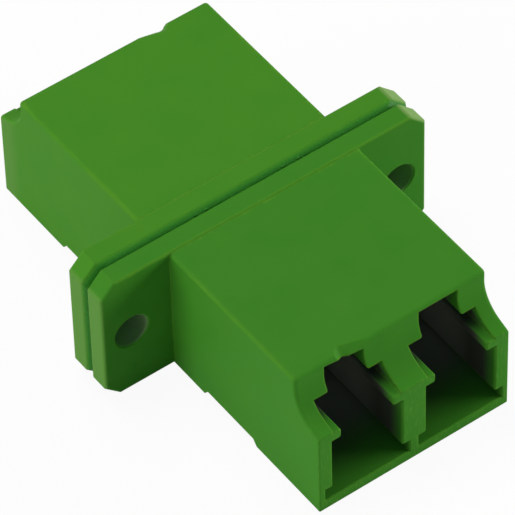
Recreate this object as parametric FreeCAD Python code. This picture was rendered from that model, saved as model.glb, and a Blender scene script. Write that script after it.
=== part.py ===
import FreeCAD, Part
import math
import os

from FreeCAD import Vector

# Duplex coupler for two pairs of fibre plugs, with a screw flange round its waist.
# Two equal housings meet back to back at the flange and hold two split sleeves between them.
# Millimetres. X runs across the two ports, Y along the fibres, Z up, the underside at Z 0.
# The front housing lies on the -Y side, and its twin is the same piece turned half round about Z.

# Outer block of one housing, from the seam to its mouth
BODY_HEIGHT = 8.9
BODY_REACH = 14.71
BODY_EDGE = 0.2
ROOF_EDGE = 0.28
FOOT_EDGE = 0.08

# Ports side by side, and their section from the floor up
PORT_WIDTH = 4.65
PORT_WALL = 1.6
SIDE_WALL = 0.9
FLOOR = 0.7
PORT_HEIGHT = 4.55
GROOVE_STEP = 0.48
GROOVE_HEIGHT = 0.86
RAIL_STEP = 0.6
RAIL_HEIGHT = 0.62
RAIL_ROUND = 0.12
ARM_INSET = 0.075
ARM_HEIGHT = 1.1
SLOT_WIDTH = 2.6
ROOF = 0.24
MOUTH_EDGE = 0.07

# Latch pockets behind the shoulders that a plug's latch snaps under
SHOULDER_LENGTH = 3.3
POCKET_LENGTH = 4.6
POCKET_ROOF = 0.6

# Scooped end of the roof
SCOOP_LENGTH = 2.06
SCOOP_RADIUS = 2.0
SCOOP_FALL = 20.0
LIP_RISE = 0.08

# Thumb scallop in the roof's edge over one port, steep at its outer end
SCALLOP_DEPTH = 0.62
SCALLOP_DROP = 0.56
SCALLOP_OUTER = 1.72
SCALLOP_STEEP = 0.45
SCALLOP_RUN = 2.2
SCALLOP_ROUND = 0.4

# Thicker wall under the scallop, hanging lower into the slot towards the middle
HANG_DROP = 0.36
HANG_LENGTH = 1.1

# Shallow recess across the underside
RECESS_OFFSET = 2.74
RECESS_LENGTH = 4.85
RECESS_DEPTH = 0.45
RECESS_RAMP = 0.36

# Flange plates, their seam and their screw holes
PLATE_THICKNESS = 1.31
PLATE_RISE = 0.11
PLATE_CORNER = 0.95
PLATE_EDGE = 0.17
SEAM_GAP = 0.4
SEAM_DEPTH = 0.6
SCREW_MARGIN = 2.65
SCREW_HOLE = 2.1
SCREW_RIM = 0.1
EAR = 1.9

# Split sleeves
SLEEVE_BORE = 1.246
SLEEVE_WALL = 0.187
SLEEVE_LENGTH = 6.8
SLEEVE_SLIT = 0.2
SLEEVE_CLEARANCE = 0.05

# Wall between the front and rear ports, with the barrels that hold the sleeves
PARTITION = 1.0
BARREL_WALL = 0.39
BARREL_TIP = 0.6
BARREL_EDGE = 0.15
ENTRY_CLEARANCE = 0.09
ENTRY_FLARE = 0.3

# Locating pins of the seam, one on each housing, and the sink mark in front of each socket
PIN_DIAMETER = 0.8
PIN_LENGTH = 0.7
PIN_CLEARANCE = 0.05
PIN_INSET = 0.2
PIN_Z = 1.7
SINK_DIAMETER = 0.6
SINK_DEPTH = 0.05

# Places and sizes that follow from the ones above
PORT_PITCH = PORT_WIDTH + PORT_WALL
PORT_PLACES = (-PORT_PITCH / 2, PORT_PITCH / 2)
BODY_WIDTH = PORT_PITCH + PORT_WIDTH + 2 * SIDE_WALL
GROOVE_TOP = FLOOR + GROOVE_HEIGHT
RAIL_UNDER = FLOOR + PORT_HEIGHT
RAIL_TOP = RAIL_UNDER + RAIL_HEIGHT
ARM_TOP = RAIL_TOP + ARM_HEIGHT
ARM_WIDTH = PORT_WIDTH - 2 * ARM_INSET
SLOT_TOP = BODY_HEIGHT - ROOF
AXIS_HEIGHT = FLOOR + PORT_HEIGHT / 2
LIP_HEIGHT = RAIL_TOP + LIP_RISE
SCOOP_REACH = BODY_REACH - SCOOP_LENGTH
POCKET_FRONT = SCOOP_REACH - SHOULDER_LENGTH
PLATE_BACK = SEAM_GAP / 2
PLATE_FRONT = PLATE_BACK + PLATE_THICKNESS
PLATE_MIDDLE = PLATE_BACK + PLATE_THICKNESS / 2
PLATE_TOP = BODY_HEIGHT + PLATE_RISE
SCREW_X = BODY_WIDTH / 2 + SCREW_MARGIN
SCREW_Z = PLATE_TOP / 2
PLATE_SIDE = SCREW_X + EAR
PIN_X = SCREW_X - PIN_INSET
RECESS_START = PLATE_FRONT + RECESS_OFFSET
SLEEVE_OUTER = SLEEVE_BORE + 2 * SLEEVE_WALL
SEAT_DIAMETER = SLEEVE_OUTER + 2 * SLEEVE_CLEARANCE
SEAT_REACH = SLEEVE_LENGTH / 2 + SLEEVE_CLEARANCE
BARREL_DIAMETER = SEAT_DIAMETER + 2 * BARREL_WALL
BARREL_REACH = SEAT_REACH + BARREL_TIP
ENTRY_DIAMETER = SLEEVE_BORE + 2 * ENTRY_CLEARANCE

# How far a cutter stands out past the surface that it cuts, and how near an edge counts as on a plane
OVERCUT = 1.0
NEAR = 0.01

UP = Vector(0, 0, 1)
FORWARD = Vector(0, -1, 0)
ACROSS = Vector(1, 0, 0)


def at(x, reach, z):
    """Point at a distance of reach in front of the seam."""
    return Vector(x, -reach, z)


def rounded_wire(corners):
    """Closed wire through (point, radius) corners: a radius of 0 leaves the corner sharp."""
    trimmed = []
    for index, (point, radius) in enumerate(corners):
        back = (corners[index - 1][0] - point).normalize()
        ahead = (corners[(index + 1) % len(corners)][0] - point).normalize()
        half = back.getAngle(ahead) / 2
        trim = radius / math.tan(half)
        inward = (back + ahead).normalize() if radius else back
        middle = point + inward * (radius / math.sin(half) - radius)
        trimmed.append((point + back * trim, middle, point + ahead * trim, radius))
    edges = []
    for index, (start, middle, end, radius) in enumerate(trimmed):
        if radius:
            edges.append(Part.Arc(start, middle, end).toShape())
        edges.append(Part.makeLine(end, trimmed[(index + 1) % len(trimmed)][0]))
    return Part.Wire(edges)


def polygon(points):
    """Face with straight sides through the points."""
    return Part.Face(Part.makePolygon(points + points[:1]))


def across_body(face):
    """Cutter swept from a face beside the body's left wall right across the body."""
    return face.extrude(ACROSS * (BODY_WIDTH + 2 * OVERCUT))


def cylinder(diameter, start, end, x, z):
    """Cylinder along the fibres between two distances in front of the seam."""
    return Part.makeCylinder(diameter / 2, end - start, at(x, start, z), FORWARD)


def cone(diameter, flare, start, end, x, z):
    """Cone that widens by flare all round between two distances in front of the seam."""
    return Part.makeCone(diameter / 2, diameter / 2 + flare, end - start, at(x, start, z), FORWARD)


def scoop():
    """Cutter for the scooped end: down behind the roof's edge, round the arc, along the lip's slope."""
    side = -BODY_WIDTH / 2 - OVERCUT
    outside = BODY_REACH + OVERCUT
    above = BODY_HEIGHT + OVERCUT
    slope = math.tan(math.radians(SCOOP_FALL))
    foot = LIP_HEIGHT + SCOOP_LENGTH * slope
    top = at(side, SCOOP_REACH, above)
    bend = at(side, SCOOP_REACH, foot)
    low = at(side, outside, LIP_HEIGHT - OVERCUT * slope)
    corner = at(side, outside, above)
    return across_body(Part.Face(rounded_wire([(top, 0), (bend, SCOOP_RADIUS), (low, 0), (corner, 0)])))


def scallop():
    """Cutter for the thumb scallop: a steep outer end, a round bottom and a long run out inwards."""
    outer = -BODY_WIDTH / 2 + SIDE_WALL + SCALLOP_OUTER
    deepest = outer + SCALLOP_STEEP
    inner = deepest + SCALLOP_RUN
    ahead = SCOOP_REACH + OVERCUT
    corners = [(at(outer, SCOOP_REACH, BODY_HEIGHT), 0)]
    corners += [(at(deepest, SCOOP_REACH - SCALLOP_DEPTH, BODY_HEIGHT), SCALLOP_ROUND)]
    corners += [(at(inner, SCOOP_REACH, BODY_HEIGHT), 0)]
    corners += [(at(inner, ahead, BODY_HEIGHT), 0), (at(outer, ahead, BODY_HEIGHT), 0)]
    outline = Part.Face(rounded_wire(corners))
    slant = at(0, SCALLOP_DEPTH, -SCALLOP_DROP)
    return outline.extrude(slant).fuse(outline.extrude(UP * OVERCUT))


def hanging_wall():
    """Wedge of wall that stays in the slot's top below the scallop."""
    left = PORT_PLACES[0] - SLOT_WIDTH / 2
    right = left + SLOT_WIDTH + OVERCUT
    low = SLOT_TOP - HANG_DROP * (right - left) / SLOT_WIDTH
    corners = [(left, SLOT_TOP), (right, low), (right, SLOT_TOP + OVERCUT), (left, SLOT_TOP + OVERCUT)]
    start = SCOOP_REACH - HANG_LENGTH
    return polygon([at(x, start, z) for x, z in corners]).extrude(FORWARD * HANG_LENGTH)


def recess():
    """Cutter for the shallow recess across the underside, with a ramp at each end."""
    side = -BODY_WIDTH / 2 - OVERCUT
    end = RECESS_START + RECESS_LENGTH
    ramp_up = [at(side, RECESS_START, 0), at(side, RECESS_START + RECESS_RAMP, RECESS_DEPTH)]
    ramp_down = [at(side, end - RECESS_RAMP, RECESS_DEPTH), at(side, end, 0)]
    below = [at(side, end, -OVERCUT), at(side, RECESS_START, -OVERCUT)]
    return across_body(polygon(ramp_up + ramp_down + below))


def softened(shape, radius, spans):
    """Shape with its edges rounded that lie in one of the spans, each between two opposite corners."""
    edges = []
    for low, high in spans:
        box = FreeCAD.BoundBox(low, high)
        box.enlarge(NEAR)
        edges += [edge for edge in shape.Edges if box.isInside(edge.BoundBox)]
    return shape.makeFillet(radius, edges)


def body():
    """Outer block of one housing, from inside its plate, with its scooped end and soft edges."""
    left = -BODY_WIDTH / 2
    right = BODY_WIDTH / 2
    corner = at(left, BODY_REACH, 0)
    block = Part.makeBox(BODY_WIDTH, BODY_REACH - PLATE_MIDDLE, BODY_HEIGHT, corner).cut(scoop())
    roof_end = (at(left, BODY_REACH, BODY_HEIGHT), at(right, SCOOP_REACH, BODY_HEIGHT))
    sides = [(at(x, BODY_REACH, LIP_HEIGHT), at(x, PLATE_MIDDLE, BODY_HEIGHT)) for x in (left, right)]
    mouth = (corner, at(right, BODY_REACH, LIP_HEIGHT))
    feet = [(at(x, BODY_REACH, 0), at(x, PLATE_MIDDLE, 0)) for x in (left, right)]
    block = softened(block, ROOF_EDGE, [roof_end])
    block = softened(block, BODY_EDGE, sides)
    return softened(block, FOOT_EDGE, [mouth] + feet)


def port_section(x, reach):
    """Outline of one port: floor groove, square port, rails, lug arms and latch slot."""
    half = PORT_WIDTH / 2
    groove = half + GROOVE_STEP
    rail = half - RAIL_STEP
    arm = ARM_WIDTH / 2
    slot = SLOT_WIDTH / 2
    right = [(groove, FLOOR, 0), (groove, GROOVE_TOP, 0), (half, GROOVE_TOP, RAIL_ROUND)]
    right += [(half, RAIL_UNDER, 0), (rail, RAIL_UNDER, RAIL_ROUND), (rail, RAIL_TOP, RAIL_ROUND)]
    right += [(arm, RAIL_TOP, 0), (arm, ARM_TOP, 0), (slot, ARM_TOP, RAIL_ROUND), (slot, SLOT_TOP, 0)]
    left = [(-offset, z, radius) for offset, z, radius in reversed(right)]
    return rounded_wire([(at(x + offset, reach, z), radius) for offset, z, radius in right + left])


def port(x):
    """Cutter for one port, with a broken edge round its mouth."""
    inside = Part.Face(port_section(x, PARTITION)).extrude(FORWARD * (BODY_REACH + OVERCUT - PARTITION))
    inner = port_section(x, BODY_REACH - MOUTH_EDGE)
    outer = port_section(x, BODY_REACH).makeOffset2D(MOUTH_EDGE, join=2)
    return inside.fuse(Part.makeLoft([inner, outer], True, True))


def pocket(x):
    """Cutter for the latch pocket behind the shoulders of one port."""
    height = BODY_HEIGHT - POCKET_ROOF - RAIL_TOP
    corner = at(x - ARM_WIDTH / 2, POCKET_FRONT, RAIL_TOP)
    return Part.makeBox(ARM_WIDTH, POCKET_LENGTH, height, corner)


def barrel(x):
    """Barrel that stands out of the partition and holds half of a sleeve."""
    tube = cylinder(BARREL_DIAMETER, 0, BARREL_REACH, x, AXIS_HEIGHT)
    tip = [edge for edge in tube.Edges if edge.BoundBox.YMax < -SEAT_REACH]
    return tube.makeChamfer(BARREL_EDGE, tip)


def sleeve_seat(x):
    """Cutter for the sleeve's seat and the lead-in cone in front of it, which starts narrower."""
    seat = cylinder(SEAT_DIAMETER, -OVERCUT, SEAT_REACH, x, AXIS_HEIGHT)
    return seat.fuse(cone(ENTRY_DIAMETER, ENTRY_FLARE, SEAT_REACH, BARREL_REACH, x, AXIS_HEIGHT))


def octagon(inset, reach):
    """Flange outline with cut corners, drawn in by inset, at a distance in front of the seam."""
    side = PLATE_SIDE - inset
    low = inset
    high = PLATE_TOP - inset
    cut = PLATE_CORNER - inset * (2 - math.sqrt(2))
    right = [(side - cut, low), (side, low + cut), (side, high - cut), (side - cut, high)]
    left = [(-x, z) for x, z in reversed(right)]
    return polygon([at(x, reach, z) for x, z in right + left])


def plate():
    """Flange plate of one housing, with the raised land that is welded to its twin."""
    slab = octagon(0, PLATE_BACK).extrude(FORWARD * PLATE_THICKNESS)
    land = octagon(SEAM_DEPTH, 0).extrude(FORWARD * PLATE_FRONT)
    outlines = [edge for edge in slab.Edges if edge.BoundBox.YLength < PLATE_EDGE]
    return slab.makeFillet(PLATE_EDGE, outlines).fuse(land)


def screw_hole(x):
    """Cutter for a screw hole with a lightly broken rim."""
    hole = cylinder(SCREW_HOLE, -OVERCUT, PLATE_FRONT + OVERCUT, x, SCREW_Z)
    return hole.fuse(cone(SCREW_HOLE, SCREW_RIM, PLATE_FRONT - SCREW_RIM, PLATE_FRONT, x, SCREW_Z))


def sink_mark(x):
    """Cutter for the shallow dimple in the plate's face in front of a locating pin's socket."""
    radius = ((SINK_DIAMETER / 2) ** 2 + SINK_DEPTH ** 2) / (2 * SINK_DEPTH)
    return Part.makeSphere(radius, at(x, PLATE_FRONT + radius - SINK_DEPTH, PIN_Z))


def housing():
    """One housing: body, plate, ports, barrels and the pin and socket of its seam."""
    shell = body().fuse(plate())
    shell = shell.cut([scallop(), recess()])
    ports = [port(x).cut(hanging_wall()) for x in PORT_PLACES]
    shell = shell.cut(ports + [pocket(x) for x in PORT_PLACES])
    pin = cylinder(PIN_DIAMETER, -PIN_LENGTH, PLATE_BACK, PIN_X, PIN_Z)
    shell = shell.fuse([barrel(x) for x in PORT_PLACES] + [pin])
    socket = cylinder(PIN_DIAMETER + 2 * PIN_CLEARANCE, -OVERCUT, PIN_LENGTH + PIN_CLEARANCE, -PIN_X, PIN_Z)
    holes = [screw_hole(-SCREW_X), screw_hole(SCREW_X), socket, sink_mark(-PIN_X)]
    return shell.cut([sleeve_seat(x) for x in PORT_PLACES] + holes).removeSplitter()


def split_sleeve(x):
    """Ceramic sleeve with a slit along its underside."""
    half = SLEEVE_LENGTH / 2
    outer = cylinder(SLEEVE_OUTER, -half, half, x, AXIS_HEIGHT)
    bore = cylinder(SLEEVE_BORE, -half - OVERCUT, half + OVERCUT, x, AXIS_HEIGHT)
    corner = at(x - SLEEVE_SLIT / 2, half + OVERCUT, AXIS_HEIGHT - SLEEVE_OUTER)
    slit = Part.makeBox(SLEEVE_SLIT, SLEEVE_LENGTH + 2 * OVERCUT, SLEEVE_OUTER, corner)
    return outer.cut([bore, slit])


front = housing()
rear = front.copy()
rear.rotate(Vector(0, 0, 0), UP, 180)

pieces = {
    "front_housing": front,
    "rear_housing": rear,
    "left_sleeve": split_sleeve(PORT_PLACES[0]),
    "right_sleeve": split_sleeve(PORT_PLACES[1]),
}
os.makedirs("parts", exist_ok=True)
for name, shape in pieces.items():
    shape.exportStep(f"parts/{name}.step")
    print(name, "solids", len(shape.Solids), "volume", round(shape.Volume, 2), "valid", shape.isValid())
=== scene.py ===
"""Looks of a duplex fibre coupler: green moulded housings, ceramic sleeves and the weld in its seam."""

import logging
import math
from dataclasses import dataclass
from enum import Enum
from typing import Any, Optional, Union

import bpy
from mathutils import Matrix, Vector


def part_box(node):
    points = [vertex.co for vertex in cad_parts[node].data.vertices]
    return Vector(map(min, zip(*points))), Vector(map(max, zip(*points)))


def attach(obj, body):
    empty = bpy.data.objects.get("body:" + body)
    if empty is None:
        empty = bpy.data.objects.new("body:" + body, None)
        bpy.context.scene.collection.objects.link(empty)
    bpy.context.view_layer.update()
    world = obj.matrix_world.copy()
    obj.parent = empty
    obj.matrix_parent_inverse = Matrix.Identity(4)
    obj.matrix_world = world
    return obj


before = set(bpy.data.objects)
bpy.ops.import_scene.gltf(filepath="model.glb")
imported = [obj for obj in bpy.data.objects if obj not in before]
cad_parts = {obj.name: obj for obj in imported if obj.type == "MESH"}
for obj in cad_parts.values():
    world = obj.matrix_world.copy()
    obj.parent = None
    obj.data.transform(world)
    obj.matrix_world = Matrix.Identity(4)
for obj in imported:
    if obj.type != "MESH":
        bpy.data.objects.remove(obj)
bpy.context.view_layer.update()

LOG = logging.getLogger("duplex_coupler")
MM = 0.001
FLANGE_CORNER = 0.95 * MM
EDGE_SAMPLES = 8

# The Mix node has sockets of the same name for each type of value, so its colours are found by number.
MIX_SHARE, MIX_FIRST, MIX_SECOND, MIX_RESULT = 0, 6, 7, 2

Colour = tuple[float, float, float, float]
Span = tuple[float, float]
Operand = Union["Field", float]


class Ray(Enum):
    """Kinds of light ray that are shown the white surroundings instead of what lights the object."""

    CAMERA = "Is Camera Ray"
    GLOSSY = "Is Glossy Ray"
    TRANSMISSION = "Is Transmission Ray"


class Field:
    """A number that varies over a surface, for use in Python expressions."""

    def __init__(self, shader: "Shader", socket: bpy.types.NodeSocket) -> None:
        """Wraps an output socket of one of the shader's nodes."""
        self.shader = shader
        self.socket = socket

    def _maths(self, operation: str, first: Operand, second: Operand) -> "Field":
        """Adds a Math node for two operands, whose result is another field."""
        return self.shader.field("ShaderNodeMath", {"operation": operation}, {0: first, 1: second})

    def __add__(self, other: Operand) -> "Field":
        """Sum of two values."""
        return self._maths("ADD", self, other)

    def __radd__(self, other: Operand) -> "Field":
        """Sum with a plain number first."""
        return self._maths("ADD", other, self)

    def __sub__(self, other: Operand) -> "Field":
        """Difference of two values."""
        return self._maths("SUBTRACT", self, other)

    def __rsub__(self, other: Operand) -> "Field":
        """Difference with a plain number first."""
        return self._maths("SUBTRACT", other, self)

    def __mul__(self, other: Operand) -> "Field":
        """Product of two values."""
        return self._maths("MULTIPLY", self, other)

    def __rmul__(self, other: Operand) -> "Field":
        """Product with a plain number first."""
        return self._maths("MULTIPLY", other, self)

    def __abs__(self) -> "Field":
        """Value without its sign."""
        return self._maths("ABSOLUTE", self, 0.0)

    def at_least(self, other: Operand) -> "Field":
        """The greater of two values."""
        return self._maths("MAXIMUM", self, other)

    def at_most(self, limit: float) -> "Field":
        """The value, held at a limit where it is greater."""
        return self._maths("MINIMUM", self, limit)

    def ramp(self, start: float, end: float) -> "Field":
        """Goes from 0 at the start to 1 at the end, which may be the smaller one, and is held there."""
        inputs = {"Value": self, "From Min": start, "From Max": end}
        return self.shader.field("ShaderNodeMapRange", None, inputs)

    def nears(self, place: float, short: Span) -> "Field":
        """Goes from 0 to 1 as the value nears a place, between two distances short of it."""
        return self.ramp(place - short[0], place - short[1])


@dataclass(frozen=True)
class Pattern:
    """A cloudy pattern: the size of its patches in metres, and how many finer layers it holds."""

    patch: float
    layers: float


class Shader:
    """Node tree of a material or of the world, built by calls."""

    def __init__(self, owner: Union[bpy.types.Material, bpy.types.World]) -> None:
        """Starts an empty tree.

        Args:
            owner: The material or world that it belongs to.
        """
        owner.use_nodes = True
        self.tree = owner.node_tree
        self.tree.nodes.clear()

    def node(
        self,
        kind: str,
        settings: Optional[dict[str, Any]] = None,
        inputs: Optional[dict[Union[str, int], Any]] = None,
    ) -> bpy.types.Node:
        """Makes a node.

        Args:
            kind: The node's type.
            settings: Its properties, which are set first.
            inputs: Values or links of its sockets, by name or number.

        Returns:
            The new node.
        """
        made = self.tree.nodes.new(kind)
        for name, value in (settings or {}).items():
            setattr(made, name, value)
        for key, value in (inputs or {}).items():
            source = value.socket if isinstance(value, Field) else value
            if isinstance(source, bpy.types.NodeSocket):
                self.tree.links.new(source, made.inputs[key])
            else:
                made.inputs[key].default_value = source
        return made

    def field(
        self,
        kind: str,
        settings: Optional[dict[str, Any]] = None,
        inputs: Optional[dict[Union[str, int], Any]] = None,
        output: Union[str, int] = 0,
    ) -> Field:
        """Makes a node as above, and wraps the output of a name or number as a field."""
        return Field(self, self.node(kind, settings, inputs).outputs[output])

    def point(self) -> bpy.types.NodeSocket:
        """The point's place on the object, as a vector in metres."""
        return self.node("ShaderNodeTexCoord").outputs["Object"]

    def place(self) -> tuple[Field, Field, Field]:
        """The point's place on the object across, along and up, in metres."""
        split = self.node("ShaderNodeSeparateXYZ", None, {"Vector": self.point()})
        return tuple(Field(self, split.outputs[axis]) for axis in "XYZ")

    def noise(self, pattern: Pattern) -> Field:
        """Fixes a cloudy pattern to the object, as a field about 0.5."""
        inputs = {"Vector": self.point(), "Scale": 1 / pattern.patch, "Detail": pattern.layers}
        return self.field("ShaderNodeTexNoise", None, inputs)

    def mix_colour(self, share: Field, first: Any, second: Any) -> bpy.types.NodeSocket:
        """Mixes two colours or links of them, with the share of the second one that shows."""
        inputs = {MIX_SHARE: share, MIX_FIRST: first, MIX_SECOND: second}
        return self.node("ShaderNodeMix", {"data_type": "RGBA"}, inputs).outputs[MIX_RESULT]

    def soft_normal(self, radius: float) -> tuple[bpy.types.NodeSocket, Field]:
        """Rounds the edges in the shading, and finds them.

        Args:
            radius: Radius of the rounded edges in metres.

        Returns:
            The rounded normal, and a field that is 0 on flats and grows towards edges.
        """
        bevel = self.node("ShaderNodeBevel", {"samples": EDGE_SAMPLES}, {"Radius": radius})
        rounded = bevel.outputs["Normal"]
        normals = {0: rounded, 1: self.node("ShaderNodeNewGeometry").outputs["Normal"]}
        alike = self.field("ShaderNodeVectorMath", {"operation": "DOT_PRODUCT"}, normals, "Value")
        return rounded, 1 - alike

    def seen_by(self, *rays: Ray) -> Field:
        """Adds up the light paths of some kinds of ray.

        Args:
            *rays: The kinds of ray.

        Returns:
            A field that is 1 on their rays.
        """
        path = self.node("ShaderNodeLightPath")
        shares = [Field(self, path.outputs[ray.value]) for ray in rays]
        return sum(shares[1:], shares[0])

    def surface(self, inputs: dict[str, Any]) -> None:
        """Ends a material's tree with its surface, whose sockets get these values or links."""
        surface = self.node("ShaderNodeBsdfPrincipled", None, inputs)
        self.node("ShaderNodeOutputMaterial", None, {"Surface": surface.outputs["BSDF"]})


@dataclass(frozen=True)
class HousingForm:
    """Places on a housing that its finish follows, in metres from the frame's origin.

    A fade gives the depths behind the mouth, or the distances from a place, between which a part
    of the finish goes from 0 to 1.
    """

    mouth: float
    flange_side: float
    flange_top: float
    flange_front: float = 1.51 * MM
    flange_corner: float = FLANGE_CORNER
    flange_round: float = 0.17 * MM
    body_side: float = 6.35 * MM
    body_top: float = 8.90 * MM
    roof_round: float = 0.28 * MM
    round_middle: float = 0.6
    screw_across: float = 9.00 * MM
    screw_radius: float = 1.06 * MM
    screw_rim: float = 0.04 * MM
    inside_side: float = 6.00 * MM
    inside_floor: float = 0.58 * MM
    inside_roof: float = 8.60 * MM
    inside_blur: float = 0.05 * MM
    port_floor: float = 0.70 * MM
    port_blend: float = 0.90 * MM
    rail: float = 5.85 * MM
    lip: float = 5.95 * MM
    lip_slope: float = 0.364
    # Fades of the painted shade inside the ports.
    lip_fade: Span = (0.03 * MM, 0.35 * MM)
    wall_fade: Span = (0.10 * MM, 1.10 * MM)
    floor_fade: Span = (1.00 * MM, 4.20 * MM)
    arm_fade: Span = (0.90 * MM, 2.00 * MM)
    slot_fade: Span = (2.50 * MM, 3.20 * MM)
    deep_fade: Span = (2.20 * MM, 6.20 * MM)
    deep_floor: float = 0.85
    seam_fade: Span = (1.20 * MM, 1.60 * MM)
    flange_fade: Span = (0.00 * MM, -0.30 * MM)
    step_fade: Span = (0.16 * MM, 0.06 * MM)
    step_height: Span = (0.10 * MM, 0.02 * MM)
    plate_fade: Span = (-0.03 * MM, -0.01 * MM)
    side_fade: Span = (0.20 * MM, 0.05 * MM)
    chamfer_fade: Span = (0.24 * MM, 0.06 * MM)
    wall_skin: Span = (0.05 * MM, 0.02 * MM)
    end_fade: Span = (1.70 * MM, 0.70 * MM)
    rim_fade: Span = (0.12 * MM, 0.04 * MM)

    @classmethod
    def from_frame(cls) -> "HousingForm":
        """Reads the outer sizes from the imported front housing."""
        low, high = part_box("front_housing")
        return cls(mouth=-low[1], flange_side=high[0], flange_top=high[2])

    def rounding(self, radius: float) -> Span:
        """How far short of a sharp corner its rounding starts and has its middle."""
        return radius, radius * self.round_middle


class HousingMasks:
    """Parts of a housing's surface, each as a field from 0 to 1 in its material."""

    def __init__(self, shader: Shader, form: HousingForm) -> None:
        """Reads the place of the shaded point.

        Args:
            shader: The material's node tree.
            form: The housing's places.
        """
        self.form = form
        self.across, along, self.up = shader.place()
        self.aside = abs(self.across)
        self.reach = abs(along)
        self.depth = form.mouth - self.reach

    def port_floors(self) -> Field:
        """The ports' floors, fading out up their walls."""
        return self.up.ramp(self.form.port_floor + self.form.port_blend, self.form.port_floor)

    def insides(self) -> Field:
        """Finds the insides of the ports and of the latch slots over them.

        Returns:
            A field that grows from the mouths inwards, and later on the floors than on the walls.
        """
        form = self.form
        on_floor = self.port_floors()
        off_floor = 1 - on_floor
        on_walls = self.depth.ramp(*form.wall_fade)
        port = on_walls + on_floor * (self.depth.ramp(*form.floor_fade) - on_walls)
        port = port * self.up.ramp(form.rail, form.rail - form.inside_blur)
        under_lip = (form.lip + self.depth * form.lip_slope - self.up).ramp(*form.lip_fade)
        arm = self.depth.ramp(*form.arm_fade) * under_lip * off_floor
        slot = self.depth.ramp(*form.slot_fade) * off_floor
        within = self.aside.ramp(form.inside_side + 2 * form.inside_blur, form.inside_side)
        above = self.up.ramp(form.inside_floor - form.inside_blur, form.inside_floor)
        below = self.up.ramp(form.inside_roof + form.inside_blur, form.inside_roof)
        clear_of_seam = self.reach.ramp(*form.seam_fade)
        return port.at_least(arm).at_least(slot) * within * above * below * clear_of_seam

    def depths(self) -> Field:
        """The depths of the ports, a little weaker on their floors."""
        weaker = 1 - self.port_floors() * (1 - self.form.deep_floor)
        return self.depth.ramp(*self.form.deep_fade) * weaker

    def screw_holes(self) -> Field:
        """Finds the walls of the screw holes, which lie at half the flange's height.

        Returns:
            A field that is 1 on them and falls to 0 just outside.
        """
        beside = self.aside - self.form.screw_across
        over = self.up - self.form.flange_top / 2
        inner = self.form.screw_radius
        outer = inner + self.form.screw_rim
        return (beside * beside + over * over).ramp(outer ** 2, inner ** 2)

    def roof_edges(self) -> Field:
        """Finds the rounded edges of the roof over both side walls.

        Returns:
            A field that is 1 on them and stays clear of the flange.
        """
        form = self.form
        corner = form.body_side + form.body_top
        edges = (self.aside + self.up).nears(corner, form.rounding(form.roof_round))
        return edges * self.reach.nears(form.flange_front, form.flange_fade)

    def flange_steps(self) -> Field:
        """Finds the low steps from the roof up to the flange.

        Returns:
            A field that is 1 along them.
        """
        form = self.form
        beside = abs(self.reach - form.flange_front).ramp(*form.step_fade)
        return beside * self.up.nears(form.body_top, form.step_height)

    def flange_brows(self) -> Field:
        """Finds the rounded upper edges of the flange's outer faces.

        Returns:
            A field that is 1 on them.
        """
        form = self.form
        corner = form.flange_front + form.flange_top
        edges = (self.reach + self.up).nears(corner, form.rounding(form.flange_round))
        return edges * self.reach.nears(form.flange_front, form.plate_fade)

    def flange_sides(self) -> Field:
        """The narrow sides of the flange."""
        return self.aside.nears(self.form.flange_side, self.form.side_fade)

    def right_chamfer(self) -> Field:
        """Finds the chamfer of the flange's upper right corner.

        Returns:
            A field that is 1 on it.
        """
        form = self.form
        corner = form.flange_side + form.flange_top - form.flange_corner
        return (self.across + self.up).nears(corner, form.chamfer_fade)

    def wall_ends(self) -> Field:
        """The side walls close to the mouth."""
        walls = self.aside.nears(self.form.body_side, self.form.wall_skin)
        return walls * self.depth.ramp(*self.form.end_fade)

    def mouth_rims(self) -> Field:
        """The flat rims of the mouths."""
        return self.depth.ramp(*self.form.rim_fade)


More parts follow.
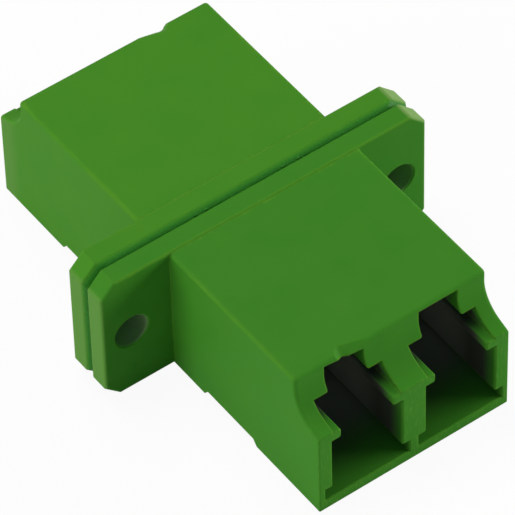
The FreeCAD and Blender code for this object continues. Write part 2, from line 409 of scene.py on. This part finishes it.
@dataclass(frozen=True)
class GreenMoulding:
    """Semi-matt moulded plastic, faintly clouded and scuffed on its rims. Its paler edges are partly wear
    and partly painted highlight, and it carries painted reflections, a painted chamfer highlight, painted
    light in its screw holes and painted shade inside its ports.
    """

    name: str
    form: HousingForm
    deep: Colour = (0.047, 0.228, 0.018, 1.0)
    light: Colour = (0.073, 0.252, 0.021, 1.0)
    # Pale colour of the edges: partly wear, partly painted highlight.
    edge: Colour = (0.130, 0.320, 0.024, 1.0)
    # Painted shade inside the ports: dark grey by the mouths, and a paler grey deeper in that stands in for
    # light lifting the deepest shade.
    inside: Colour = (0.045, 0.048, 0.038, 1.0)
    painted_deep_haze: Colour = (0.270, 0.256, 0.228, 1.0)
    # Painted light on the screw holes' shaded walls: a paler grey-green.
    painted_hole_light: Colour = (0.170, 0.290, 0.125, 1.0)
    # Painted reflection of the lit floor on the flange's sides and the side walls' ends.
    painted_reflection: Colour = (0.098, 0.260, 0.044, 1.0)
    scuffed: Colour = (0.120, 0.300, 0.040, 1.0)
    # Painted highlight on the flange's right chamfer.
    painted_chamfer_highlight: Colour = (0.175, 0.320, 0.090, 1.0)
    cloud: Pattern = Pattern(2.40 * MM, 3.0)
    grain: Pattern = Pattern(0.09 * MM, 2.0)
    grain_in_colour: float = 0.2
    ripple: Pattern = Pattern(1.10 * MM, 1.0)
    ripple_in_height: float = 0.75
    bump_strength: float = 0.06
    bump_height: float = 0.05 * MM
    edge_radius: float = 0.13 * MM
    edge_strength: float = 3.0
    edge_limit: float = 0.55
    # Shares of painted highlight on the roof's edges and the flange's upper edges, and of painted glints
    # along the flange's steps.
    roof_highlight_share: float = 0.24
    roof_edge_gaps: Span = (0.3, 0.6)
    brow_highlight_share: float = 0.3
    step_glint: Pattern = Pattern(0.38 * MM, 2.0)
    step_glint_edges: Span = (0.50, 0.62)
    step_glint_share: float = 0.4
    # Share of painted reflection at the ends of the side walls.
    end_reflection_share: float = 0.0
    scuff_slant: float = 0.6
    scuff_width: float = 0.09 * MM
    scuff_length: float = 0.70 * MM
    scuff_edges: Span = (0.54, 0.72)
    scuff_share: float = 0.6
    roughness: float = 0.38
    roughness_spread: float = 0.12
    specular: float = 0.02

    def _edges(self, shader: Shader, masks: HousingMasks, cloud: Field, bend: Field) -> Field:
        """Finds where the edges' pale colour shows, partly as wear and partly as painted highlight.

        Args:
            shader: The material's node tree.
            masks: The parts of the housing.
            cloud: The plastic's cloudy pattern, which breaks the painted highlight on the roof's edges up.
            bend: A field that grows towards sharp edges.

        Returns:
            How much of the edges' colour shows.
        """
        # Painted highlights along the roof's edges, the flange's steps and its upper edges; the bend towards
        # sharp edges gives wear and painted highlight together.
        roof = masks.roof_edges() * cloud.ramp(*self.roof_edge_gaps) * self.roof_highlight_share
        step_glints = shader.noise(self.step_glint).ramp(*self.step_glint_edges) * self.step_glint_share
        marks = roof.at_least(step_glints * masks.flange_steps()).at_least(masks.flange_brows() * self.brow_highlight_share)
        return (bend * self.edge_strength).at_least(marks).at_most(self.edge_limit)

    def _scuffs(self, shader: Shader, masks: HousingMasks) -> Field:
        """Finds the slanting scuffs that plugs leave on the rims of the mouths.

        Args:
            shader: The material's node tree.
            masks: The parts of the housing.

        Returns:
            A field that is above 0 only in the scuffs.
        """
        stretched = shader.node("ShaderNodeMapping", None, {
            "Vector": shader.point(),
            "Rotation": (0.0, self.scuff_slant, 0.0),
            "Scale": (1 / self.scuff_width, 1 / self.scuff_length, 1 / self.scuff_length),
        })
        streaks = shader.field("ShaderNodeTexNoise", None, {"Vector": stretched.outputs[0], "Scale": 1.0})
        return streaks.ramp(*self.scuff_edges) * masks.mouth_rims() * self.scuff_share

    def _scuffs_and_painted_light(
        self,
        shader: Shader,
        masks: HousingMasks,
        clean: bpy.types.NodeSocket,
    ) -> bpy.types.NodeSocket:
        """Adds painted reflections, scuffs, a painted chamfer highlight, painted shade inside the ports and
        painted light in the screw holes to the clean plastic.

        Args:
            shader: The material's node tree.
            masks: The parts of the housing.
            clean: The clean plastic's colour.

        Returns:
            The socket of the colour with its scuffs and its painted light and shade.
        """
        # Painted reflections of the lit floor on the flange's sides and, where its share is set, the side
        # walls' ends.
        painted_reflection = masks.flange_sides().at_least(masks.wall_ends() * self.end_reflection_share)
        # Painted shade inside the ports, dark by the mouths and paler deeper in.
        painted_port_shade = shader.mix_colour(masks.depths(), self.inside, self.painted_deep_haze)
        colour = shader.mix_colour(painted_reflection, clean, self.painted_reflection)
        colour = shader.mix_colour(self._scuffs(shader, masks), colour, self.scuffed)
        # Painted highlight on the flange's right chamfer.
        colour = shader.mix_colour(masks.right_chamfer(), colour, self.painted_chamfer_highlight)
        colour = shader.mix_colour(masks.insides(), colour, painted_port_shade)
        # Painted light in the screw holes.
        return shader.mix_colour(masks.screw_holes(), colour, self.painted_hole_light)

    def material(self) -> bpy.types.Material:
        """Builds the plastic's material.

        Returns:
            The new material.
        """
        material = bpy.data.materials.new(self.name)
        shader = Shader(material)
        masks = HousingMasks(shader, self.form)
        cloud = shader.noise(self.cloud)
        grain = shader.noise(self.grain)
        ripple = shader.noise(self.ripple)
        rounded, bend = shader.soft_normal(self.edge_radius)
        blotches = cloud * (1 - self.grain_in_colour) + grain * self.grain_in_colour
        clean = shader.mix_colour(blotches, self.deep, self.light)
        edges = self._edges(shader, masks, cloud, bend)
        bump = shader.node("ShaderNodeBump", None, {
            "Strength": self.bump_strength,
            "Distance": self.bump_height,
            "Height": grain * (1 - self.ripple_in_height) + ripple * self.ripple_in_height,
            "Normal": rounded,
        })
        shader.surface({
            "Base Color": shader.mix_colour(edges, self._scuffs_and_painted_light(shader, masks, clean), self.edge),
            "Roughness": self.roughness + cloud * self.roughness_spread,
            "Specular IOR Level": self.specular,
            "Normal": bump.outputs["Normal"],
        })
        return material


@dataclass(frozen=True)
class WeldPlastic:
    """Melted plastic of the weld, which turns deeper and bluer towards the bottom of the seam as painted
    shade.
    """

    # The plates' colour at the top of the seam, then the deeper, bluer colours of the painted shade below
    # it.
    plate: Colour = (0.052, 0.232, 0.015, 1.0)
    deep: Colour = (0.018, 0.150, 0.012, 1.0)
    light: Colour = (0.030, 0.195, 0.017, 1.0)
    upper_edge: float = 0.28 * MM
    lower_edge: float = 0.10 * MM
    grain: Pattern = Pattern(0.12 * MM, 2.0)
    grain_edges: Span = (0.3, 0.7)
    bump_strength: float = 0.35
    bump_height: float = 0.03 * MM
    roughness: float = 0.36
    roughness_spread: float = 0.10
    specular: float = 0.1

    def material(self) -> bpy.types.Material:
        """Builds the weld's material.

        Returns:
            The new material.
        """
        material = bpy.data.materials.new("weld_plastic")
        shader = Shader(material)
        _, along, _ = shader.place()
        grain = shader.noise(self.grain)
        seam_shade_colour = shader.mix_colour(grain.ramp(*self.grain_edges), self.deep, self.light)
        bump = shader.node("ShaderNodeBump", None, {
            "Strength": self.bump_strength,
            "Distance": self.bump_height,
            "Height": grain,
        })
        # Painted shade: deeper and bluer down into the seam.
        seam_shade_share = along.ramp(self.upper_edge, self.lower_edge)
        shader.surface({
            "Base Color": shader.mix_colour(seam_shade_share, self.plate, seam_shade_colour),
            "Roughness": self.roughness + grain * self.roughness_spread,
            "Specular IOR Level": self.specular,
            "Normal": bump.outputs["Normal"],
        })
        return material


@dataclass(frozen=True)
class WhiteCeramic:
    """Ground zirconia of the sleeves, with fine grinding marks round its axis."""

    colour: Colour = (0.80, 0.79, 0.76, 1.0)
    shade: Colour = (0.72, 0.70, 0.66, 1.0)
    mark: Pattern = Pattern(0.04 * MM, 2.0)
    edge_radius: float = 0.05 * MM
    bump_strength: float = 0.08
    bump_height: float = 0.01 * MM
    roughness: float = 0.22
    roughness_spread: float = 0.10

    def material(self) -> bpy.types.Material:
        """Builds the ceramic's material.

        Returns:
            The new material.
        """
        material = bpy.data.materials.new("white_ceramic")
        shader = Shader(material)
        _, along, _ = shader.place()
        ring_inputs = {"W": along * (1 / self.mark.patch), "Scale": 1.0, "Detail": self.mark.layers}
        rings = shader.field("ShaderNodeTexNoise", {"noise_dimensions": "1D"}, ring_inputs)
        rounded, _ = shader.soft_normal(self.edge_radius)
        bump = shader.node("ShaderNodeBump", None, {
            "Strength": self.bump_strength,
            "Distance": self.bump_height,
            "Height": rings,
            "Normal": rounded,
        })
        shader.surface({
            "Base Color": shader.mix_colour(rings, self.colour, self.shade),
            "Roughness": self.roughness + rings * self.roughness_spread,
            "Normal": bump.outputs["Normal"],
        })
        return material


def dress(piece: bpy.types.Object, material: bpy.types.Material) -> None:
    """Gives every material slot of a piece the same material.

    Args:
        piece: The piece's object.
        material: Its finish.
    """
    if not piece.material_slots:
        piece.data.materials.append(material)
    for slot in piece.material_slots:
        slot.material = material
    LOG.info("dressed %s", piece.name)


@dataclass
class Housings:
    """The two moulded housings that meet at the flange; the front one is a little darker, as painted shade.
    """

    # Painted shade: the front housing's colours are darker copies of the rear's.
    front_shaded_deep: Colour = (0.037, 0.206, 0.018, 1.0)
    front_shaded_light: Colour = (0.059, 0.230, 0.021, 1.0)
    # Share of painted highlight on the front housing's roof edges.
    front_roof_highlight: float = 0.20
    # Share of painted reflection at the ends of the rear housing's side walls.
    rear_end_reflection: float = 0.9

    def dress(self) -> None:
        """Puts each housing's moulding on it, the front one darkened by painted shade."""
        form = HousingForm.from_frame()
        front = GreenMoulding(
            "front_moulding",
            form,
            deep=self.front_shaded_deep,
            light=self.front_shaded_light,
            roof_highlight_share=self.front_roof_highlight,
        )
        rear = GreenMoulding("rear_moulding", form, end_reflection_share=self.rear_end_reflection)
        dress(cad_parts["front_housing"], front.material())
        dress(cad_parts["rear_housing"], rear.material())


@dataclass
class Sleeves:
    """The two split sleeves between the housings."""

    names: tuple[str, ...] = ("left_sleeve", "right_sleeve")

    def dress(self, material: bpy.types.Material) -> None:
        """Puts the ceramic finish on both sleeves."""
        for name in self.names:
            dress(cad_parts[name], material)


@dataclass
class SeamWeld:
    """Weld between the two flange plates: a sloped bead all round, with drops of flash on its top.

    Each station of the profile gives its place along the fibres and its depth under the plates' rim.
    """

    corner: float = FLANGE_CORNER
    profile: tuple[Span, ...] = (
        (0.28 * MM, 0.035 * MM),
        (0.14 * MM, 0.10 * MM),
        (0.00 * MM, 0.22 * MM),
        (-0.21 * MM, 0.44 * MM),
    )
    wall: float = 0.30 * MM
    cuts: int = 48
    unevenness: float = 0.012 * MM
    evenly_moved: float = 0.4
    bead_seed: int = 11
    smooth_angle: float = 50.0
    level: float = 0.01 * MM
    facing: float = 0.99
    drop: float = 0.16 * MM
    drop_stretch: tuple[float, float, float] = (1.5, 0.8, 0.7)
    drop_unevenness: float = 0.09
    drop_evenly_moved: float = 0.3
    drop_seed: int = 7
    drop_softening: float = 0.4
    drop_station: int = 2
    drop_places: tuple[float, ...] = (-3.57 * MM, -2.86 * MM, 1.90 * MM, 2.32 * MM, 3.34 * MM, 3.80 * MM)
    drop_turn: float = 47.0
    drop_spread: float = 0.3
    drop_rhythm: float = 2.3

    def _select_open_edges(self) -> None:
        """Selects the bead's open edges in edit mode."""
        bpy.ops.mesh.select_mode(type="EDGE")
        bpy.ops.mesh.select_all(action="DESELECT")
        bpy.ops.mesh.select_non_manifold()

    def _select_long_edges(self, ring: bpy.types.Object) -> None:
        """Selects the edges that run round the flange.

        Args:
            ring: The bead's object, in edit mode.
        """
        bpy.ops.mesh.select_mode(type="EDGE")
        bpy.ops.mesh.select_all(action="DESELECT")
        bpy.ops.object.mode_set(mode="OBJECT")
        points = ring.data.vertices
        for edge in ring.data.edges:
            first, second = (points[index].co for index in edge.vertices)
            edge.select = abs(first.y - second.y) < self.level
        bpy.ops.object.mode_set(mode="EDIT")

    def _octagon(self) -> bpy.types.Object:
        """Models the bead's outer shape: the flange's outline, drawn in along the profile.

        Returns:
            The octagon's object, in edit mode.
        """
        low, high = (Vector(corner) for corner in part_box("front_housing"))
        along, depth = self.profile[0]
        centre = Vector(((low.x + high.x) / 2, along, (low.z + high.z) / 2))
        width, height = (high[axis] - low[axis] - 2 * depth for axis in (0, 2))
        bpy.ops.object.select_all(action="DESELECT")
        bpy.ops.mesh.primitive_plane_add(size=1.0, location=centre, rotation=(math.pi / 2, 0.0, 0.0))
        octagon = bpy.context.object
        bpy.ops.object.transform_apply(location=True, rotation=True, scale=True)
        bpy.ops.object.mode_set(mode="EDIT")
        bpy.ops.transform.resize(value=(width, 1.0, height), center_override=centre)
        bpy.ops.mesh.bevel(offset=self.corner, affect="VERTICES")
        bpy.ops.mesh.select_all(action="SELECT")
        for (near, shallow), (far, deep) in zip(self.profile, self.profile[1:]):
            bpy.ops.mesh.extrude_region_move(TRANSFORM_OT_translate={"value": (0.0, far - near, 0.0)})
            fall = 2 * (deep - shallow)
            scale = (1 - fall / width, 1.0, 1 - fall / height)
            bpy.ops.transform.resize(value=scale, center_override=centre)
            width, height = width - fall, height - fall
        return octagon

    def _bead(self) -> bpy.types.Object:
        """Opens the octagon to a ring and roughens it.

        Returns:
            The bead's object.
        """
        ring = self._octagon()
        self._open(ring)
        self._select_long_edges(ring)
        bpy.ops.mesh.subdivide(number_cuts=self.cuts)
        bpy.ops.mesh.select_all(action="SELECT")
        bpy.ops.transform.vertex_random(
            offset=self.unevenness,
            uniform=self.evenly_moved,
            seed=self.bead_seed,
        )
        bpy.ops.mesh.normals_make_consistent(inside=False)
        bpy.ops.object.mode_set(mode="OBJECT")
        bpy.ops.object.shade_smooth_by_angle(angle=math.radians(self.smooth_angle))
        return ring

    def _open(self, ring: bpy.types.Object) -> None:
        """Opens the octagon's two flat sides and bridges them to a ring.

        Args:
            ring: The octagon's object, in edit mode.
        """
        bpy.ops.mesh.select_mode(type="FACE")
        bpy.ops.object.mode_set(mode="OBJECT")
        for face in ring.data.polygons:
            face.select = abs(face.normal.y) > self.facing
        bpy.ops.object.mode_set(mode="EDIT")
        bpy.ops.mesh.inset(thickness=self.wall, use_even_offset=True)
        bpy.ops.mesh.delete(type="FACE")
        self._select_open_edges()
        bpy.ops.mesh.bridge_edge_loops()

    def _first_drop(self) -> bpy.types.Object:
        """Models one drop of flash at the origin, squashed and uneven.

        Returns:
            The drop's object.
        """
        bpy.ops.object.select_all(action="DESELECT")
        bpy.ops.mesh.primitive_ico_sphere_add(subdivisions=2, radius=self.drop / 2)
        drop = bpy.context.object
        bpy.ops.object.mode_set(mode="EDIT")
        bpy.ops.transform.resize(value=self.drop_stretch)
        bpy.ops.transform.vertex_random(
            offset=self.drop * self.drop_unevenness,
            uniform=self.drop_evenly_moved,
            seed=self.drop_seed,
        )
        bpy.ops.mesh.vertices_smooth(factor=self.drop_softening, repeat=1)
        bpy.ops.object.mode_set(mode="OBJECT")
        bpy.ops.object.shade_smooth()
        return drop

    def _drops(self) -> list[bpy.types.Object]:
        """Copies the drop to its places on the bead's top, each turned and sized a little differently.

        Returns:
            The copies.
        """
        along, depth = self.profile[self.drop_station]
        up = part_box("front_housing")[1][2] - depth
        first = self._first_drop()
        drops = []
        for number, across in enumerate(self.drop_places):
            drop = first.copy()
            drop.data = first.data.copy()
            bpy.context.collection.objects.link(drop)
            turn = Matrix.Rotation(math.radians(self.drop_turn * number), 4, "X")
            size = 1 + self.drop_spread * math.sin(self.drop_rhythm * number)
            shift = Matrix.Translation((across, along, up))
            drop.data.transform(shift @ turn @ Matrix.Scale(size, 4))
            drops.append(drop)
        bpy.data.objects.remove(first)
        return drops

    def build(self) -> bpy.types.Object:
        """Models the bead and its drops and joins them to one piece.

        Returns:
            The weld, with its place in its mesh.
        """
        weld = self._bead()
        drops = self._drops()
        bpy.ops.object.select_all(action="DESELECT")
        for piece in [weld] + drops:
            piece.select_set(True)
        bpy.context.view_layer.objects.active = weld
        bpy.ops.object.join()
        weld.name = "seam_weld"
        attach(weld, "root")
        LOG.info("built %s with %d drops", weld.name, len(drops))
        return weld


def direction(azimuth: float, elevation: float) -> Vector:
    """Points from the object to a place around it.

    Args:
        azimuth: The place's bearing in degrees, 0 in front of the object and 90 to its right.
        elevation: Its height over the floor in degrees.

    Returns:
        A vector of length 1.
    """
    bearing = math.radians(azimuth)
    height = math.radians(elevation)
    level = math.cos(height)
    return Vector((math.sin(bearing) * level, -math.cos(bearing) * level, math.sin(height)))


@dataclass(frozen=True)
class Lamp:
    """A square soft lamp that points at the object.

    Its level is how bright a white surface that faces it is, with 1 for white.
    """

    name: str
    azimuth: float
    elevation: float
    level: float
    colour: tuple[float, float, float]

    def hang(self, distance: float, size: float) -> None:
        """Hangs the lamp.

        Args:
            distance: From the object in metres.
            size: Of its side in metres.
        """
        way = direction(self.azimuth, self.elevation)
        turn = way.to_track_quat("Z", "Y").to_euler()
        bpy.ops.object.light_add(type="AREA", location=way * distance, rotation=turn)
        lamp = bpy.context.object
        lamp.name = self.name
        lamp.data.shape = "SQUARE"
        lamp.data.size = size
        lamp.data.color = self.colour
        # A small lamp of this power lights a white surface that faces it to its level.
        lamp.data.energy = self.level * math.pi ** 2 * distance ** 2
        lamp.visible_camera = False


@dataclass
class Studio:
    """White floor, faint sky and four large lamps: left, right in front, high behind, and a weak fill."""

    floor_radius: float = 1.5
    floor_corners: int = 96
    floor_colour: Colour = (0.88, 0.88, 0.87, 1.0)
    white: Colour = (1.0, 1.0, 1.0, 1.0)
    sky_colour: Colour = (0.75, 1.0, 1.0, 1.0)
    floor_glow: float = 0.93
    mirrored_glow: float = 0.15
    sky_level: float = 0.08
    lamp_distance: float = 0.28
    lamp_size: float = 0.16
    lamps: tuple[Lamp, ...] = (
        Lamp("left_lamp", -98.0, 15.0, 0.59, (1.0, 0.98, 0.88)),
        Lamp("right_lamp", 62.0, 14.0, 0.89, (1.0, 1.0, 0.95)),
        Lamp("high_lamp", 186.0, 68.0, 0.60, (1.0, 0.98, 0.92)),
        Lamp("fill_lamp", -35.0, 48.0, 0.06, (0.75, 1.0, 1.0)),
    )

    def build_floor(self) -> None:
        """Lays the floor, which keeps a faint shadow and is white to the camera."""
        bpy.ops.object.select_all(action="DESELECT")
        bpy.ops.mesh.primitive_circle_add(
            vertices=self.floor_corners,
            radius=self.floor_radius,
            fill_type="NGON",
        )
        floor = bpy.context.object
        floor.name = "floor"
        material = bpy.data.materials.new("floor")
        shader = Shader(material)
        paper = shader.node("ShaderNodeBsdfDiffuse", None, {"Color": self.floor_colour})
        glow = shader.node("ShaderNodeEmission", None, {"Color": self.white, "Strength": 1.0})
        shown = shader.seen_by(Ray.CAMERA) * self.floor_glow
        mirrored = shader.seen_by(Ray.GLOSSY, Ray.TRANSMISSION) * self.mirrored_glow
        mixed = shader.node("ShaderNodeMixShader", None, {
            0: (shown + mirrored).at_most(1.0),
            1: paper.outputs[0],
            2: glow.outputs[0],
        })
        shader.node("ShaderNodeOutputMaterial", None, {"Surface": mixed.outputs[0]})
        floor.data.materials.append(material)

    def build_sky(self) -> None:
        """Sets the world: a soft even light, and white where it is looked at or mirrored."""
        world = bpy.data.worlds.new("studio")
        bpy.context.scene.world = world
        shader = Shader(world)
        even = {"Color": self.sky_colour, "Strength": self.sky_level}
        light = shader.node("ShaderNodeBackground", None, even)
        backdrop = shader.node("ShaderNodeBackground", None, {"Color": self.white, "Strength": 1.0})
        shown = shader.seen_by(Ray.CAMERA, Ray.GLOSSY, Ray.TRANSMISSION)
        mixed = shader.node("ShaderNodeMixShader", None, {
            0: shown.at_most(1.0),
            1: light.outputs[0],
            2: backdrop.outputs[0],
        })
        shader.node("ShaderNodeOutputWorld", None, {"Surface": mixed.outputs[0]})

    def build(self) -> None:
        """Builds the whole studio."""
        self.build_floor()
        self.build_sky()
        for lamp in self.lamps:
            lamp.hang(self.lamp_distance, self.lamp_size)
        LOG.info("built the studio with %d lamps", len(self.lamps))


@dataclass
class Camera:
    """Camera at the photograph's viewing angle."""

    azimuth: float = -35.115
    elevation: float = 48.394
    roll: float = -1.714
    distance: float = 290.736 * MM
    nearest: float = 10.0 * MM
    lens: float = 372.62
    sensor: float = 36.0
    target: tuple[float, float, float] = (-0.151 * MM, -0.843 * MM, 3.811 * MM)

    def place(self) -> None:
        """Adds the camera and makes it the scene's own."""
        back = direction(self.azimuth, self.elevation)
        right = direction(self.azimuth + 90.0, 0.0)
        up = back.cross(right)
        roll = math.radians(self.roll)
        across = right * math.cos(roll) + up * math.sin(roll)
        upward = up * math.cos(roll) - right * math.sin(roll)
        bpy.ops.object.camera_add(location=Vector(self.target) + back * self.distance)
        camera = bpy.context.object
        camera.rotation_euler = Matrix((across, upward, back)).transposed().to_euler()
        camera.data.lens = self.lens
        camera.data.sensor_width = self.sensor
        camera.data.clip_start = self.nearest
        bpy.context.scene.camera = camera


def main() -> None:
    """Dresses the housings and sleeves, adds the weld, and sets up the studio and camera."""
    logging.basicConfig(level=logging.INFO, format="%(name)s: %(message)s")
    Housings().dress()
    Sleeves().dress(WhiteCeramic().material())
    dress(SeamWeld().build(), WeldPlastic().material())
    Studio().build()
    Camera().place()
    bpy.context.scene.view_settings.view_transform = "Standard"


if __name__ == "__main__":
    main()
